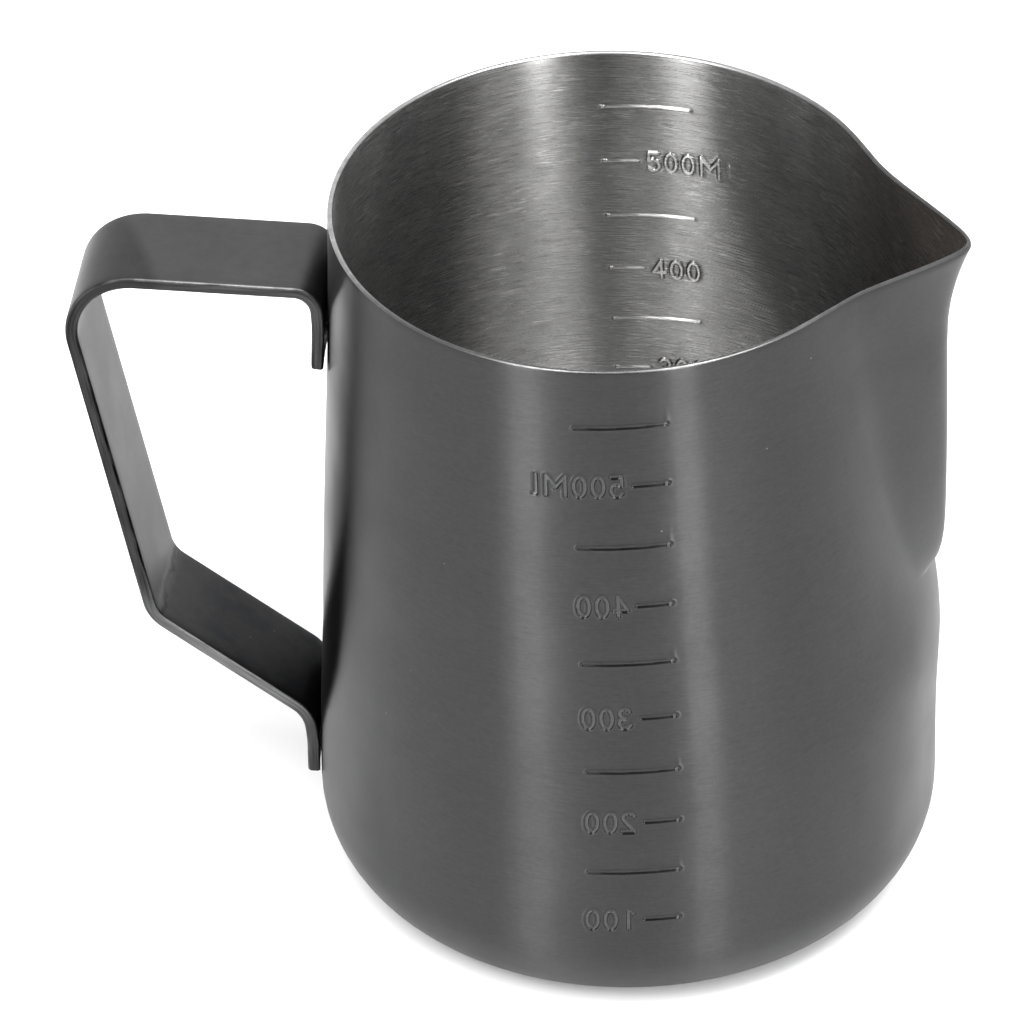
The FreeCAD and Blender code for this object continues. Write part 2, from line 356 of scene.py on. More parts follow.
def stamp_depth(angle, z, strokes, heights):
    """How far the stamps push both skins inwards, and a trace for painted light: 1 for painted
    highlight on a stroke, -1 for painted shade beside it.
    """
    radius = round_radius(np.maximum(z, CORNER_HEIGHT))
    depth = np.zeros(np.broadcast(angle, z).shape)
    lip = np.zeros(depth.shape)
    dent = np.zeros(depth.shape)
    trace = np.zeros(depth.shape)
    from_near = (angle - 1.5 * np.pi) * radius
    from_far = (angle - 0.5 * np.pi) * radius
    sides = [
        (NEAR_START - from_near, z - MARK_TILT * from_near, NEAR_FADE),
        (FAR_START - from_far, z + MARK_TILT * from_far, FAR_FADE),
    ]
    for u, level, fade in sides:
        for mark, height in heights.items():
            numbered = mark % 100 == 0
            middle = NUMERAL_DENT_MIDDLE if numbered else LONG_TICK / 2.0
            press = NUMERAL_DENT if numbered else TICK_DENT
            away = ((u - middle) / DENT_LENGTH) ** 2 + ((level - height) / DENT_HEIGHT) ** 2
            dent += press * np.exp(-np.minimum(away, 50.0))
        here = (u > -1.0) & (u < SCALE_LENGTH + 1.0)
        bite = 1.0 - (1.0 - FADED_BITE) * smoothstep((u - fade) / FADE_LENGTH)
        for height, path, width in strokes:
            near_it = here & (np.abs(level - height) < 2.5)
            if not near_it.any():
                continue
            d = distance_to_path(u[near_it], (level - height)[near_it], path)
            half = width / 2.0
            cover = smoothstep((half + STAMP_SLOPE / 2.0 - d) / STAMP_SLOPE)
            depth[near_it] = np.maximum(depth[near_it], STAMP_DEPTH * cover * bite[near_it])
            pile = np.exp(-(((d - half - STAMP_SLOPE) / PILE_WIDTH) ** 2))
            lip[near_it] = np.maximum(lip[near_it], STAMP_LIP * pile * bite[near_it])
            core = smoothstep((half - d) / OUTLINE)
            outline = np.exp(-(((d - half) / OUTLINE) ** 2))
            local = np.where(core > 0.5, core, -outline) * bite[near_it]
            stronger = np.abs(local) > np.abs(trace[near_it])
            trace[near_it] = np.where(stronger, local, trace[near_it])
    return depth + dent - np.where(depth < 0.02, lip, 0.0), trace


# ================================================================ mesh helpers
def spaced(stretches):
    """Values over neighbouring stretches (start, stop, step), without the last stop."""
    values = []
    for start, stop, step in stretches:
        count = max(1, round((stop - start) / step))
        values.extend(start + (stop - start) * i / count for i in range(count))
    return values


def mesh_object(name, points, faces, uv=None, wear=None):
    """A smooth-shaded mesh object from points in millimetres; the last argument is a value per
    point for arris rubbing and painted light.
    """
    mesh = bpy.data.meshes.new(name)
    faces = np.asarray(faces, dtype=np.int32)
    corners = faces.shape[1]
    mesh.vertices.add(len(points))
    mesh.vertices.foreach_set("co", (np.asarray(points) * MM).astype(np.float32).ravel())
    mesh.loops.add(faces.size)
    mesh.loops.foreach_set("vertex_index", faces.ravel())
    mesh.polygons.add(len(faces))
    mesh.polygons.foreach_set("loop_start", np.arange(0, faces.size, corners, dtype=np.int32))
    mesh.polygons.foreach_set("use_smooth", np.ones(len(faces), dtype=bool))
    if uv is not None:
        layer = mesh.uv_layers.new(name="length_and_girth")
        layer.data.foreach_set("uv", np.asarray(uv, dtype=np.float32)[faces.ravel()].ravel())
    if wear is not None:
        layer = mesh.attributes.new("wear", "FLOAT", "POINT")
        layer.data.foreach_set("value", np.asarray(wear, dtype=np.float32))
    mesh.update(calc_edges=True)
    mesh.validate()
    piece = bpy.data.objects.new(name, mesh)
    bpy.context.scene.collection.objects.link(piece)
    return piece


def tube_faces(rings, columns):
    """Quads between neighbouring rings of a closed tube; ring k starts at k * columns."""
    row = np.arange(rings - 1)[:, None] * columns
    here = np.arange(columns)[None, :]
    after = (here + 1) % columns
    quads = np.stack([row + here, row + after, row + columns + after, row + columns + here], -1)
    return quads.reshape(-1, 4)


# ================================================================ the cup
def cup_columns():
    """Angles round the cup: fine on the spout and where the scales are stamped."""
    fine = math.degrees(FINE_STEP / RIM_RADIUS)
    far_end = 90.0 - math.degrees((SCALE_LENGTH - FAR_START + 0.8) / RIM_RADIUS)
    far_start = 90.0 + math.degrees((FAR_START + 0.8) / RIM_RADIUS)
    near_start = 270.0 - math.degrees((SCALE_LENGTH - NEAR_START + 0.8) / RIM_RADIUS)
    near_end = 270.0 + math.degrees((NEAR_START + 0.8) / RIM_RADIUS)
    degrees = spaced([
        (0.0, 6.0, 0.3), (6.0, 36.0, 0.8), (36.0, far_end, 2.0),
        (far_end, far_start, fine), (far_start, near_start, 2.0),
        (near_start, near_end, fine), (near_end, 324.0, 2.0),
        (324.0, 354.0, 0.8), (354.0, 360.0, 0.3),
    ])
    return np.radians(np.array(degrees))


def cup_levels(heights):
    """Levels up the wall: fine across each mark and wide between marks."""
    top = HEIGHT - WALL / 2.0
    stretches = []
    z = CORNER_HEIGHT
    for mark, height in heights.items():
        reach = 2.45 if mark % 100 == 0 else 0.9
        stretches.append((z, height - reach, 1.3))
        stretches.append((height - reach, height + reach, FINE_STEP))
        z = height + reach
    stretches.append((z, top, 1.0))
    wall = [1.0 + (v - CORNER_HEIGHT) / (HEIGHT - CORNER_HEIGHT) for v in spaced(stretches)]
    corner = spaced([(0.0, 1.0, 1.0 / 16.0)])
    last = 1.0 + (top - CORNER_HEIGHT) / (HEIGHT - CORNER_HEIGHT)
    return np.array(corner + wall + [last])


def make_cup():
    """One closed shell: underside, outer skin, rounded rim, inner skin and inside floor.

    Also gives the number of the rim's first point and of the inner skin's first point.
    """
    heights = mark_heights()
    strokes = scale_strokes(heights)
    angle = cup_columns()
    levels = cup_levels(heights)
    a, level = np.meshgrid(angle, levels)
    outer = outside_point(a, level)
    inward = inward_normal(a, level)
    push, trace = stamp_depth(a, outer[..., 2], strokes, heights)
    push = push[..., None]
    inner = outer + inward * (WALL + push)
    outer = outer + inward * push
    rings = []
    for share in FLAT_RINGS:
        rings.append(outer[0] * np.array([share, share, 1.0]))
    rings.extend(outer)
    top_level = np.full(angle.shape, levels[-1])
    edge = outside_point(angle, top_level)
    edge_in = inward_normal(angle, top_level)
    half = WALL / 2.0
    for turn in np.radians(np.linspace(0.0, 180.0, RIM_RINGS + 2))[1:-1]:
        ring = edge + edge_in * (half - half * math.cos(turn))
        ring[:, 2] += half * math.sin(turn)
        rings.append(ring)
    rings.extend(inner[::-1])
    for share in FLAT_RINGS[::-1]:
        rings.append(inner[0] * np.array([share, share, 1.0]))
    points = np.concatenate(rings)
    columns = len(angle)
    faces = tube_faces(len(rings), columns)
    flat = np.zeros((len(FLAT_RINGS), columns))
    rim = np.zeros((RIM_RINGS, columns))
    # The stamp trace, kept with each point for the painted highlight on the strokes and the
    # painted shade beside them.
    marks = np.concatenate([flat, trace, rim, trace[::-1], flat])
    piece = mesh_object("stamped_cup", points, faces, wear=marks.ravel())
    close_ends(piece, columns, len(rings))
    rim_ring = len(FLAT_RINGS) + len(outer)
    return piece, rim_ring * columns, (rim_ring + RIM_RINGS) * columns


def close_ends(piece, columns, rings):
    """Fills the small holes in the middle of the underside and of the inside floor."""
    work = bmesh.new()
    work.from_mesh(piece.data)
    work.verts.ensure_lookup_table()
    first = [work.verts[i] for i in range(columns)]
    last = [work.verts[(rings - 1) * columns + i] for i in range(columns)]
    for face in (work.faces.new(first[::-1]), work.faces.new(last)):
        face.smooth = True
    work.normal_update()
    work.to_mesh(piece.data)
    work.free()


# ================================================================ the strap
def strap_centreline():
    """Points along the middle of the strip with the sideways direction at each of them."""
    middle = shifted_corners(STRAP_CORNERS, STRAP_THICKNESS / 2.0)
    corners = [Vector((x, z)) for x, z, _ in middle]
    stations = []
    start = corners[0]
    for i in range(1, len(corners)):
        direction = (corners[i] - corners[i - 1]).normalized()
        side = Vector((-direction.y, direction.x))
        if i == len(corners) - 1:
            add_run(stations, start, corners[i], side)
            stations.append((corners[i], side))
            break
        onward = (corners[i + 1] - corners[i]).normalized()
        turn = math.atan2(direction.x * onward.y - direction.y * onward.x, direction.dot(onward))
        radius = middle[i][2]
        reach = radius * math.tan(abs(turn) / 2.0)
        bend_start = corners[i] - direction * reach
        add_run(stations, start, bend_start, side)
        centre = bend_start + side * math.copysign(radius, turn)
        steps = max(6, round(abs(math.degrees(turn)) / 4.0))
        for k in range(steps):
            spin = Matrix.Rotation(turn * k / steps, 2)
            stations.append((centre + spin @ (bend_start - centre), spin @ side))
        start = corners[i] + onward * reach
    return stations


def add_run(stations, start, stop, side):
    """Stations from start up to, but without, stop."""
    steps = max(2, round((stop - start).length / 1.2))
    stations.extend((start.lerp(stop, k / steps), side) for k in range(steps))


def leg_curve(point):
    """1 where the strap's legs lie on the cup, 0 where the strap is flat, smooth between."""
    x, z = point
    if x < LEG_START:
        return 0.0
    if z > MIDDLE_HEIGHT:
        return float(smoothstep((97.0 - z) / 6.0))
    return float(smoothstep((25.0 - z) / 7.0))


def shifted_corners(corners, distance):
    """The run of corners moved to its left by distance, bends about the same centres."""
    points = [Vector((x, z)) for x, z, _ in corners]
    directions = [(b - a).normalized() for a, b in zip(points, points[1:])]
    sides = [Vector((-d.y, d.x)) for d in directions]
    moved = [(points[0] + sides[0] * distance, 0.0)]
    for i in range(1, len(points) - 1):
        mitre = (sides[i - 1] + sides[i]) * (distance / (1.0 + sides[i - 1].dot(sides[i])))
        turn = directions[i - 1].x * directions[i].y - directions[i - 1].y * directions[i].x
        radius = corners[i][2] - math.copysign(distance, turn)
        moved.append((points[i] + mitre, radius))
    moved.append((points[-1] + sides[-1] * distance, 0.0))
    return [(p.x, p.y, radius) for p, radius in moved]


def strip_section():
    """Outline of the strip: (across thickness, across width, arris share for rubbing and painted
    highlight), with round arrises.
    """
    half_t, half_w, r = STRAP_THICKNESS / 2.0, STRAP_WIDTH / 2.0, STRAP_EDGE_RADIUS
    outline = []
    for sign_t, sign_w, start in ((1, 1, 0), (-1, 1, 90), (-1, -1, 180), (1, -1, 270)):
        for k in range(6):
            t = math.radians(start + 90.0 * k / 5.0)
            wear = math.sin(math.pi * k / 5.0)
            outline.append((sign_t * (half_t - r) + r * math.cos(t),
                            sign_w * (half_w - r) + r * math.sin(t), wear))
        if sign_t != sign_w:
            flat = [half_w - r - (2.0 * half_w - 2.0 * r) * k / 12.0 for k in range(1, 12)]
            outline.extend((sign_t * half_t, -sign_t * w, 0.0) for w in flat)
        else:
            outline.append((0.0, sign_w * half_w, 0.0))
    return outline


def make_strap():
    """The strip swept along its path, with rounded ends and legs curved to the cup."""
    stations = strap_centreline()
    section = strip_section()
    r = STRAP_EDGE_RADIUS
    first = (stations[1][0] - stations[0][0]).normalized()
    last = (stations[-1][0] - stations[-2][0]).normalized()
    ends = [math.radians(a) for a in (0.0, 22.5, 45.0, 67.5)]
    start = [(stations[0][0] + first * r * (1.0 - math.cos(e)), stations[0][1],
              r * (1.0 - math.sin(e))) for e in ends]
    stop = [(stations[-1][0] - last * r * (1.0 - math.cos(e)), stations[-1][1],
             r * (1.0 - math.sin(e))) for e in ends]
    whole = start + [(p, n, 0.0) for p, n in stations[1:-1]] + stop[::-1]
    points, uv, wear = [], [], []
    length = 0.0
    previous = whole[0][0]
    for p, n, inset in whole:
        length += (p - previous).length
        previous = p
        curve = leg_curve(p)
        hug_radius = UPPER_HUG_RADIUS if p.y > MIDDLE_HEIGHT else LOWER_HUG_RADIUS
        for t, w, arris_share in section:
            t -= math.copysign(min(inset, abs(t)), t)
            w -= math.copysign(inset, w)
            hug = curve * w * w / (2.0 * hug_radius)
            points.append((p.x + n.x * t + hug, w, p.y + n.y * t))
            uv.append((length * MM, (w + t) * MM))
            wear.append(max(arris_share, inset / r))
    columns = len(section)
    faces = tube_faces(len(whole), columns)
    piece = mesh_object("bent_strap", np.array(points), faces[:, ::-1], uv, wear)
    close_ends(piece, columns, len(whole))
    return piece


# ================================================================ the welds
def make_nuggets(name, height, strap_x, hug_radius):
    """Two weld nuggets between the strap and the cup, a little uneven and flared at the ends."""
    points, faces = [], []
    columns, rings = 28, 9
    for number, y in enumerate((-WELD_OFFSET, WELD_OFFSET)):
        radius = float(round_radius(height))
        cup_x = float(neck_centre(height)) - math.sqrt(radius ** 2 - y ** 2) + WELD_SINK
        first = strap_x + y * y / (2.0 * hug_radius) - WELD_SINK
        base = len(points)
        for k in range(rings):
            share = k / (rings - 1)
            x = first + (cup_x - first) * share
            flare = WELD_RADIUS + 0.45 * (2.0 * share - 1.0) ** 4
            for c in range(columns):
                a = 2.0 * math.pi * c / columns
                uneven = 1.0 + 0.05 * math.sin(3.0 * a + number) + 0.03 * math.sin(5.0 * a + 2.0)
                points.append((x, y + flare * uneven * math.cos(a),
                               height + flare * uneven * math.sin(a)))
        faces.extend((tube_faces(rings, columns) + base).tolist())
        for ring, flip in ((0, False), (rings - 1, True)):
            middle = len(points)
            row = base + ring * columns
            points.append((first if ring == 0 else cup_x, y, height))
            for c in range(0, columns, 2):
                quad = [middle, row + (c + 2) % columns, row + c + 1, row + c]
                faces.append(quad[::-1] if flip else quad)
    return mesh_object(name, np.array(points), np.array(faces))


# ================================================================ stage, camera and light
def direction_from(azimuth, elevation):
    """Unit vector towards a place round the pitcher; azimuth 0 is the -Y side, +X is more."""
    level = math.cos(elevation)
    return Vector((math.sin(azimuth) * level, -math.cos(azimuth) * level, math.sin(elevation)))


def make_camera():
    camera = bpy.data.cameras.new("camera")
    camera.lens = CAMERA_LENS
    camera.sensor_width = 36.0
    camera.clip_start = 0.05
    camera.clip_end = 20.0
    holder = bpy.data.objects.new("camera", camera)
    bpy.context.scene.collection.objects.link(holder)
    low, high = [corner / MM for corner in CAD_BOX]
    aim = (low + high) / 2.0 + CAMERA_OFFSET
    back = direction_from(CAMERA_AZIMUTH, CAMERA_ELEVATION)
    holder.location = (aim + back * CAMERA_DISTANCE) * MM
    turn = back.to_track_quat("Z", "Y").to_matrix() @ Matrix.Rotation(CAMERA_ROLL, 3, "Z")
    holder.rotation_euler = turn.to_euler()
    bpy.context.scene.camera = holder


def plain_material(name, color, roughness):
    material = bpy.data.materials.new(name)
    material.use_nodes = True
    shader = material.node_tree.nodes["Principled BSDF"]
    shader.inputs["Base Color"].default_value = (*color, 1.0)
    shader.inputs["Roughness"].default_value = roughness
    return material


def make_stage():
    size = FLOOR_SIZE
    points = [(-size, -size, 0), (size, -size, 0), (size, size, 0), (-size, size, 0)]
    floor = mesh_object("floor", np.array(points), [[0, 1, 2, 3]])
    floor.data.materials.append(plain_material("pale_floor", FLOOR_COLOR, 0.9))


def softbox(name, azimuth, elevation, width, height, power):
    """Area light that faces the pitcher."""
    light = bpy.data.lights.new(name, "AREA")
    light.shape = "RECTANGLE"
    light.size = width * MM
    light.size_y = height * MM
    light.energy = power
    holder = bpy.data.objects.new(name, light)
    bpy.context.scene.collection.objects.link(holder)
    back = direction_from(math.radians(azimuth), math.radians(elevation))
    holder.location = (LAMP_TARGET + back * LAMP_DISTANCE) * MM
    holder.rotation_euler = back.to_track_quat("Z", "Y").to_euler()


def make_light():
    scene = bpy.context.scene
    scene.view_settings.view_transform = "Standard"
    world = bpy.data.worlds.new("studio")
    scene.world = world
    world.use_nodes = True
    background = world.node_tree.nodes["Background"]
    background.inputs["Color"].default_value = (1.0, 1.0, 1.0, 1.0)
    tree = world.node_tree
    place = tree.nodes.new("ShaderNodeTexCoord")
    towards = tree.nodes.new("ShaderNodeVectorMath")
    towards.operation = "DOT_PRODUCT"
    tree.links.new(place.outputs["Generated"], towards.inputs[0])
    towards.inputs[1].default_value = direction_from(math.radians(DIM_AZIMUTH), 0.0)
    total = tree.nodes.new("ShaderNodeMath")
    for slot, (low, high, to_low, to_high) in enumerate(ROOM_RAMPS):
        ramp = tree.nodes.new("ShaderNodeMapRange")
        ramp.interpolation_type = "SMOOTHSTEP"
        ramp.inputs["From Min"].default_value = low
        ramp.inputs["From Max"].default_value = high
        ramp.inputs["To Min"].default_value = to_low
        ramp.inputs["To Max"].default_value = to_high
        tree.links.new(towards.outputs["Value"], ramp.inputs["Value"])
        tree.links.new(ramp.outputs[0], total.inputs[slot])
    tree.links.new(total.outputs[0], background.inputs["Strength"])
    for box in SOFTBOXES:
        softbox(*box)


# ================================================================ materials
class Shader:
    """A material with short helpers for wiring its nodes."""

    def __init__(self, name):
        self.material = bpy.data.materials.new(name)
        self.material.use_nodes = True
        self.tree = self.material.node_tree
        self.surface = self.tree.nodes["Principled BSDF"]
        self.surface.inputs["Metallic"].default_value = 1.0

    def put(self, value, socket):
        if isinstance(value, bpy.types.NodeSocket):
            self.tree.links.new(value, socket)
        else:
            socket.default_value = value

    def node(self, kind, inputs, output=0, **settings):
        node = self.tree.nodes.new(kind)
        for key, value in settings.items():
            setattr(node, key, value)
        for key, value in inputs.items():
            self.put(value, node.inputs[key])
        return node.outputs[output]

    def math(self, operation, *values):
        return self.node("ShaderNodeMath", dict(enumerate(values)), operation=operation)

    def ramp(self, value, low, high, to_low=0.0, to_high=1.0, smooth=True):
        kind = "SMOOTHSTEP" if smooth else "LINEAR"
        return self.node("ShaderNodeMapRange", {
            "Value": value, "From Min": low, "From Max": high, "To Min": to_low,
            "To Max": to_high}, interpolation_type=kind)

    def place(self):
        return self.node("ShaderNodeTexCoord", {}, output="Object")

    def split(self, vector):
        node = self.tree.nodes.new("ShaderNodeSeparateXYZ")
        self.tree.links.new(vector, node.inputs[0])
        return node.outputs["X"], node.outputs["Y"], node.outputs["Z"]

    def noise(self, vector, size, detail=2.0, rough=0.5):
        """Cloudy noise with features of the given size in millimetres."""
        return self.node("ShaderNodeTexNoise", {
            "Vector": vector, "Scale": 1.0 / (size * MM), "Detail": detail, "Roughness": rough},
            output="Fac")

    def streaks(self, x, y, z, length, width, tilt_x=0.0, tilt_y=0.0, detail=2.0):
        """Noise drawn out to level streaks that climb a little with x and y."""
        climb = self.math("MULTIPLY_ADD", x, tilt_x, z)
        climb = self.math("MULTIPLY_ADD", y, tilt_y, climb)
        vector = self.node("ShaderNodeCombineXYZ", {
            "X": self.math("MULTIPLY", x, 1.0 / (length * MM)),
            "Y": self.math("MULTIPLY", y, 1.0 / (length * MM)),
            "Z": self.math("MULTIPLY", climb, 1.0 / (width * MM))})
        return self.node("ShaderNodeTexNoise", {
            "Vector": vector, "Scale": 1.0, "Detail": detail, "Roughness": 0.55}, output="Fac")

    def brushed_place(self, place):
        """x, y and a height that also grows outwards on level faces, for ring-like marks."""
        x, y, z = self.split(place)
        flat = self.node("ShaderNodeCombineXYZ", {"X": x, "Y": y})
        out = self.node("ShaderNodeVectorMath", {0: flat}, output="Value", operation="LENGTH")
        return x, y, self.math("MULTIPLY_ADD", out, 0.6, z)

    def swing(self, tone, noise, share):
        """The tone moved up and down by a share of the noise."""
        return self.math("MULTIPLY_ADD", self.math("SUBTRACT", noise, 0.5), share, tone)

    def blend(self, share, zero, one):
        """The value zero where share is 0, the value one where it is 1."""
        return self.node("ShaderNodeMix", {"Factor": share, "A": zero, "B": one}, output="Result")

    def wear(self):
        """The value kept with each point: arris rubbing and painted highlight on the strap, the
        stamp trace of painted highlight and shade on the cup.
        """
        return self.node("ShaderNodeAttribute", {}, output="Fac", attribute_name="wear")

    def stamped(self, tone, core, outline):
        """The tone lifted on the stamped strokes as painted highlight and lowered along their
        outlines as painted shade.
        """
        trace = self.wear()
        lift = self.math("MULTIPLY", self.math("MAXIMUM", trace, 0.0), core)
        drop = self.math("MULTIPLY", self.math("MINIMUM", trace, 0.0), outline)
        return self.math("MULTIPLY", tone, self.math("ADD", self.math("ADD", lift, drop), 1.0))

    def tinted(self, color, factor):
        """The color multiplied by a factor socket."""
        return self.node("ShaderNodeVectorMath", {0: (*color,), "Scale": factor},
                         operation="SCALE")

    def stained(self, color, share, stain):
        """The color multiplied by the tint as far as the share says: a stain, and inside the spout
        also painted shade.
        """
        tint = self.node("ShaderNodeMix", {"Factor": share, "A": WHITE, "B": stain},
                         output="Result", data_type="RGBA")
        return self.node("ShaderNodeVectorMath", {0: color, 1: tint}, operation="MULTIPLY")

    def finish(self, color, roughness, height, depth, anisotropy=0.0):
        """Wires the surface; height is the bump's noise and depth its size in millimetres."""
        self.put(color, self.surface.inputs["Base Color"])
        self.put(roughness, self.surface.inputs["Roughness"])
        self.surface.inputs["Anisotropic"].default_value = anisotropy
        if anisotropy:
            self.surface.inputs["Anisotropic Rotation"].default_value = 0.25
            tangent = self.node("ShaderNodeTangent", {}, direction_type="RADIAL", axis="Z")
            self.put(tangent, self.surface.inputs["Tangent"])
        bump = self.node("ShaderNodeBump", {"Height": height, "Distance": depth * MM})
        self.put(bump, self.surface.inputs["Normal"])
        return self.material


def outside_coat():
    """Dark satin coat over fine level brushing, slightly blotchy, with a few specks."""
    m = Shader("grey_satin_coat")
    place = m.place()
    x, y, rise = m.brushed_place(place)
    brush = m.streaks(x, y, rise, 2.2, 0.16)
    broad = m.streaks(x, y, rise, 24.0, 1.6)
    cloud = m.noise(place, 14.0, 3.0)
    mottle = m.noise(place, 0.7, 4.0, 0.65)
    tone = m.swing(1.0, brush, 0.40)
    tone = m.swing(tone, broad, 0.05)
    tone = m.swing(tone, cloud, 0.26)
    tone = m.swing(tone, mottle, 0.34)
    speck = add_specks(m, place, 5.0, 0.018)
    tone = m.math("ADD", tone, m.math("MULTIPLY", speck, 2.0))
    # Painted highlight on the stamped strokes, painted shade along their outlines.
    tone = m.stamped(tone, 0.50, 0.50)
    roughness = m.ramp(cloud, 0.3, 0.7, OUTSIDE_ROUGHNESS - 0.02, OUTSIDE_ROUGHNESS + 0.03)
    return m.finish(m.tinted(OUTSIDE_COLOR, tone), roughness, brush, 0.0011, 1.0)


def add_specks(m, place, spacing, radius):
    """1 on sparse tiny dots, 0 elsewhere."""
    cells = m.tree.nodes.new("ShaderNodeTexVoronoi")
    cells.inputs["Scale"].default_value = 1.0 / (spacing * MM)
    m.tree.links.new(place, cells.inputs["Vector"])
    near = m.ramp(cells.outputs["Distance"], radius, radius * 2.0, 1.0, 0.0)
    pick = m.node("ShaderNodeSeparateColor", {"Color": cells.outputs["Color"]})
    return m.math("MULTIPLY", near, m.math("GREATER_THAN", pick, 0.55))


def inside_steel():
    """Bare brushed steel: level brushing crossed by longer, crisper scratches."""
    m = Shader("bare_brushed_steel")
    place = m.place()
    x, y, rise = m.brushed_place(place)
    # Towards the spout the steel is browner and darker, partly a stain and partly painted shade.
    spout = m.ramp(x, 20.0 * MM, 39.0 * MM)
    brush = m.streaks(x, y, rise, 4.5, 0.13, 0.03, 0.02, 3.0)
    tone = m.swing(1.0, brush, 0.60)
    patch = m.ramp(m.noise(place, 7.0, 2.0), 0.40, 0.62)
    clustered = m.ramp(patch, 0.0, 1.0, 0.35, 1.0)
    for length, width, tilt_x, tilt_y, gain in INSIDE_SCRATCHES:
        scratch = m.streaks(x, y, rise, length, width, tilt_x, tilt_y, 1.0)
        line = m.math("MULTIPLY", m.ramp(scratch, 0.64, 0.72), clustered)
        tone = m.math("MULTIPLY_ADD", line, gain, tone)
    cloud = m.noise(place, 11.0, 3.0)
    tone = m.math("MULTIPLY", tone, m.ramp(cloud, 0.3, 0.7, 0.92, 1.08, False))
    # Painted highlight on the stamped strokes, painted shade along their outlines.
    tone = m.stamped(tone, 0.85, 0.65)
    color = m.tinted(INSIDE_COLOR, tone)
    color = m.stained(color, spout, SPOUT_STAIN_AND_SHADE)
    roughness = m.ramp(brush, 0.35, 0.65, INSIDE_ROUGHNESS + 0.03, INSIDE_ROUGHNESS - 0.03)
    return m.finish(color, roughness, brush, 0.0012, 1.0)


def strap_coat():
    """The same coat on the strap, drawn along it, with arris rubbing and painted highlight,
    painted light and shade on its sides, grip and bends, and a blue heat stain low down.
    """
    m = Shader("grey_strap_coat")
    place = m.place()
    x, y, z = m.split(place)
    along = m.node("ShaderNodeTexCoord", {}, output="UV")
    u, v, _ = m.split(along)
    grain = m.node("ShaderNodeCombineXYZ", {
        "X": m.math("MULTIPLY", u, 1.0 / (9.0 * MM)), "Y": m.math("MULTIPLY", v, 1.0 / (0.3 * MM)),
        "Z": m.math("MULTIPLY", z, 1.0 / (9.0 * MM))})
    brush = m.node("ShaderNodeTexNoise", {"Vector": grain, "Scale": 1.0, "Detail": 2.0},
                   output="Fac")
    cloud = m.noise(place, 9.0, 4.0, 0.6)
    mottle = m.noise(place, 1.6, 3.0)
    tone = m.swing(1.0, brush, 0.16)
    tone = m.swing(tone, cloud, 0.28)
    tone = m.swing(tone, mottle, 0.30)
    tone = m.math("ADD", tone, m.math("MULTIPLY", add_specks(m, place, 3.6, 0.03), 2.0))
    edge = STRAP_WIDTH / 2.0
    # Painted light and shade on the strip's sides: lit on the lower run, shaded on the lower leg
    # and from the grip up.
    side = m.ramp(m.math("ABSOLUTE", y), (edge - 0.2) * MM, (edge - 0.05) * MM)
    side_tone = m.ramp(z, *LOW_RUN_TO_GRIP, 1.5, 0.40)
    side_tone = m.math("MULTIPLY", side_tone, m.ramp(z, *LEG_TO_LOW_RUN, 0.42, 1.0))
    side_tone = m.math("MULTIPLY", side_tone, m.ramp(brush, 0.3, 0.7, 0.55, 1.45, False))
    tone = m.blend(side, tone, side_tone)
    # The arrises are lighter, partly from rubbing and partly painted highlight; on the grip they
    # are darker, painted shade against their reflection of the lamps.
    patchy = m.ramp(m.noise(place, 3.0, 3.0), 0.30, 0.62)
    arris_rub_and_light = m.math("ADD", m.ramp(z, 42.0 * MM, 50.0 * MM, 0.9, -0.5),
                    m.ramp(z, *GRIP_TO_TOP_RUN, 0.0, 1.4))
    tone = m.math("MULTIPLY_ADD", m.math("MULTIPLY", m.wear(), patchy), arris_rub_and_light, tone)
    # Painted reflection on the top run: darker where a dark thing is reflected in the bend,
    # lighter beyond it.
    bent = m.ramp(m.math("MULTIPLY_ADD", y, 0.44, x), *TOP_BEND_END, 0.85, 1.35)
    bent = m.blend(m.ramp(z, *TOP_RUN), 1.0, bent)
    tone = m.math("MULTIPLY", tone, bent)
    face = m.math("SUBTRACT", 1.0, side)
    # Painted shade on the grip's faces, deeper towards its foot.
    grip = m.math("MULTIPLY", m.ramp(z, *GRIP_FOOT), m.ramp(z, *GRIP_HEAD, 1.0, 0.0))
    darker = m.ramp(z, 40.0 * MM, 90.0 * MM, 0.36, 0.16)
    grip = m.math("MULTIPLY", darker, m.math("MULTIPLY", grip, face))
    tone = m.math("MULTIPLY", tone, m.math("SUBTRACT", 1.0, grip))
    # The faces are darker from the lower run down; blotches there also get the blue heat stain.
    low = m.math("MULTIPLY", m.ramp(z, *LOW_RUN_STAIN, 1.0, 0.0), face)
    tone = m.math("MULTIPLY", tone, m.ramp(low, 0.0, 1.0, 1.0, 0.46, False))
    # Painted shade: a thin wobbly dark line along the bend at the grip's foot.
    wobble = m.math("MULTIPLY_ADD", m.noise(place, 4.0, 2.5), 3.0 * MM, 38.6 * MM)
    bend_shade_line = m.math("ABSOLUTE", m.math("SUBTRACT", z, wobble))
    bend_shade_line = m.math("MULTIPLY", m.ramp(bend_shade_line, 0.10 * MM, 0.55 * MM, 0.55, 0.0), face)
    tone = m.math("MULTIPLY", tone, m.math("SUBTRACT", 1.0, bend_shade_line))
    blot = m.ramp(m.noise(place, 5.0, 4.0, 0.65), 0.42, 0.62)
    color = m.stained(m.tinted(STRAP_COLOR, tone), m.math("MULTIPLY", low, blot), BLUE_STAIN)
    roughness = m.ramp(cloud, 0.3, 0.7, 0.40, 0.44)
    return m.finish(color, roughness, brush, 0.0010)


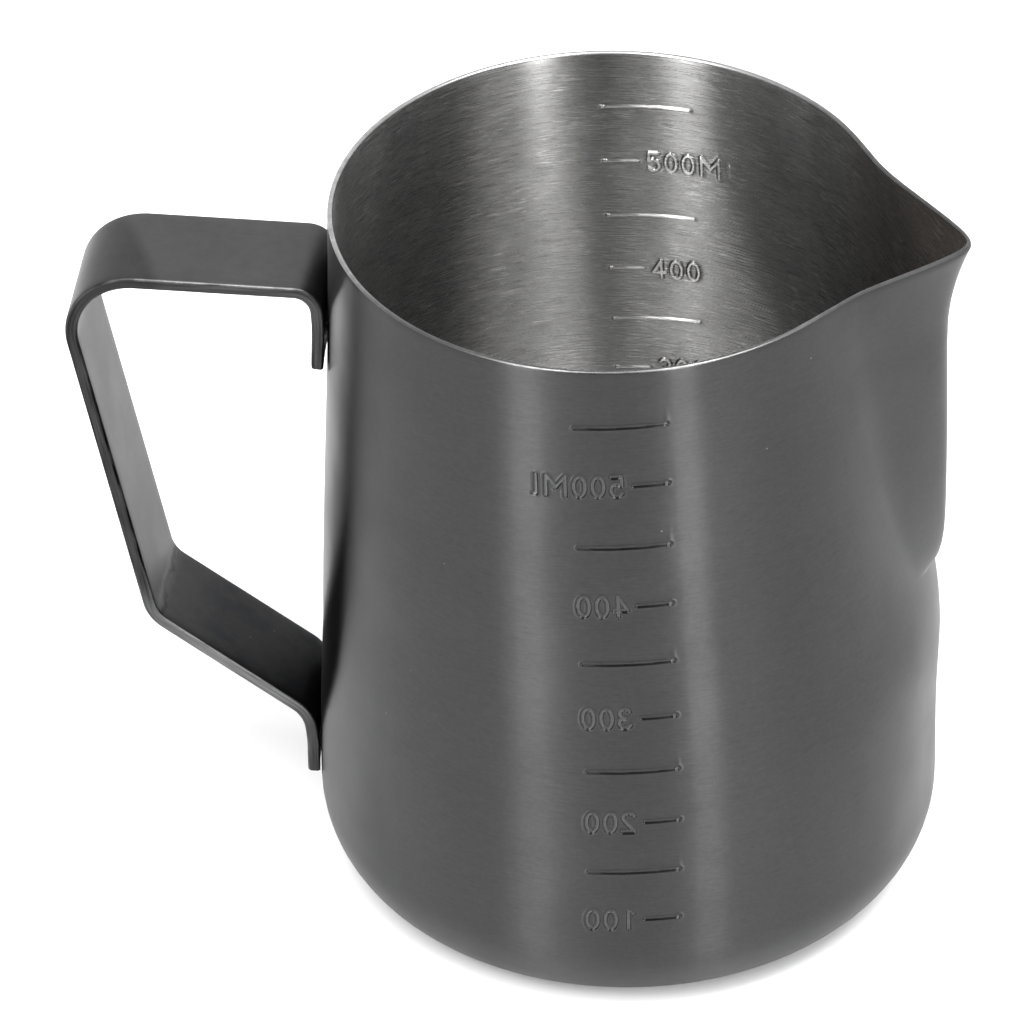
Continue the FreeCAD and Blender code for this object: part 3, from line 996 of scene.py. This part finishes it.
def rim_steel():
    """The cut edge of the sheet, bare and nearly polished."""
    m = Shader("bare_rim_steel")
    place = m.place()
    x, y, z = m.split(place)
    nick = m.streaks(x, y, z, 1.4, 0.5)
    tone = m.ramp(nick, 0.3, 0.7, 0.75, 1.15, False)
    # Painted shade: the bare rim is darker towards the spout and towards the front.
    spout = m.ramp(x, 12.0 * MM, 36.0 * MM, 1.0, 0.30)
    front = m.ramp(y, -34.0 * MM, -8.0 * MM, 0.30, 1.0)
    tone = m.math("MULTIPLY", tone, m.math("MINIMUM", spout, front))
    color = m.tinted(RIM_COLOR, tone)
    return m.finish(color, m.ramp(nick, 0.3, 0.7, 0.34, 0.26), nick, 0.002)


def weld_metal():
    """Dull, heat-darkened weld metal with a pitted skin."""
    m = Shader("weld_metal")
    place = m.place()
    pits = m.noise(place, 0.5, 3.0)
    tone = m.ramp(pits, 0.3, 0.7, 0.6, 1.3, False)
    return m.finish(m.tinted(WELD_COLOR, tone), 0.5, pits, 0.03)


# ================================================================ assembly
def add_piece(piece, node, materials):
    for material in materials:
        piece.data.materials.append(material)
    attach(piece, "root")
    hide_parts(node)


make_camera()
make_light()
make_stage()

cup, rim_start, inside_start = make_cup()
add_piece(cup, "pitcher_body", [outside_coat(), inside_steel(), rim_steel()])
corner = np.zeros(len(cup.data.loops), dtype=np.int32)
cup.data.loops.foreach_get("vertex_index", corner)
starts = np.zeros(len(cup.data.polygons), dtype=np.int32)
cup.data.polygons.foreach_get("loop_start", starts)
lowest = np.minimum.reduceat(corner, starts)
kind = np.where(lowest >= inside_start, 1, np.where(lowest >= rim_start, 2, 0))
cup.data.polygons.foreach_set("material_index", kind.astype(np.int32))

add_piece(make_strap(), "handle_strap", [strap_coat()])
weld = weld_metal()
lower_leg_face = STRAP_CORNERS[-1][0] + STRAP_THICKNESS
add_piece(make_nuggets("upper_nuggets", UPPER_WELD_HEIGHT, UPPER_LEG_FACE, UPPER_HUG_RADIUS),
          "upper_welds", [weld])
add_piece(make_nuggets("lower_nuggets", LOWER_WELD_HEIGHT, lower_leg_face, LOWER_HUG_RADIUS),
          "lower_welds", [weld])

bpy.context.view_layer.update()
